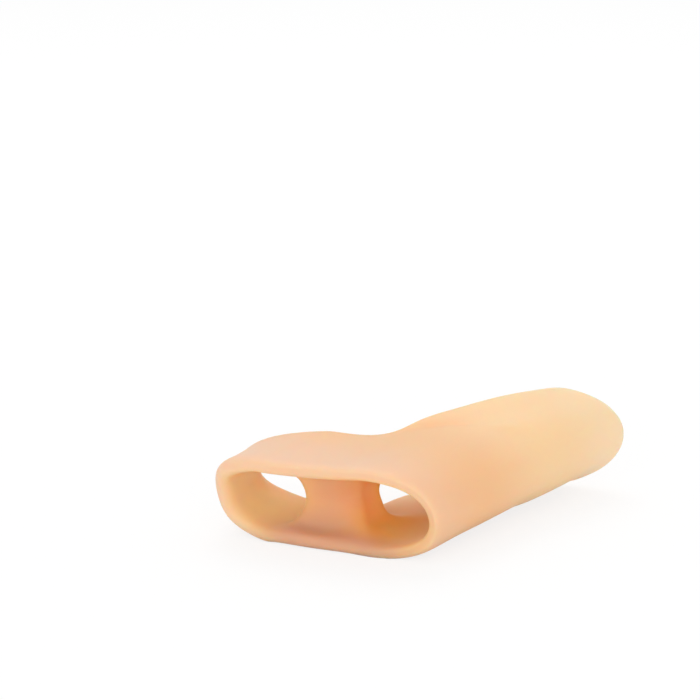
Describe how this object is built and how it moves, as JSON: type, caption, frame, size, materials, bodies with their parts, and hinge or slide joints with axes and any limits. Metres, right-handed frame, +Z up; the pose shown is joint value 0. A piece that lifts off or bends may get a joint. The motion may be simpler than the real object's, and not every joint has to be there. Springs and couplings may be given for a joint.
{
  "type": "toe separator",
  "caption": "Soft gel toe separator: a flattened sleeve with a septum between its toe tunnels, and a long hollow shield with a round tip that covers the side of the foot.",
  "frame": {"origin": "middle of the outline's box, on the surface that the piece lies on", "axes": "+X runs across the toes to the shield's side, +Y from the mouth back along the foot to the shield's tip, +Z up"},
  "size_m": [0.0474, 0.071, 0.0203],
  "materials": {
    "gel": "soft satin silicone gel, slightly translucent"
  },
  "bodies": {
    "root": {"toe_separator": "gel"}
  },
  "joints": []
}
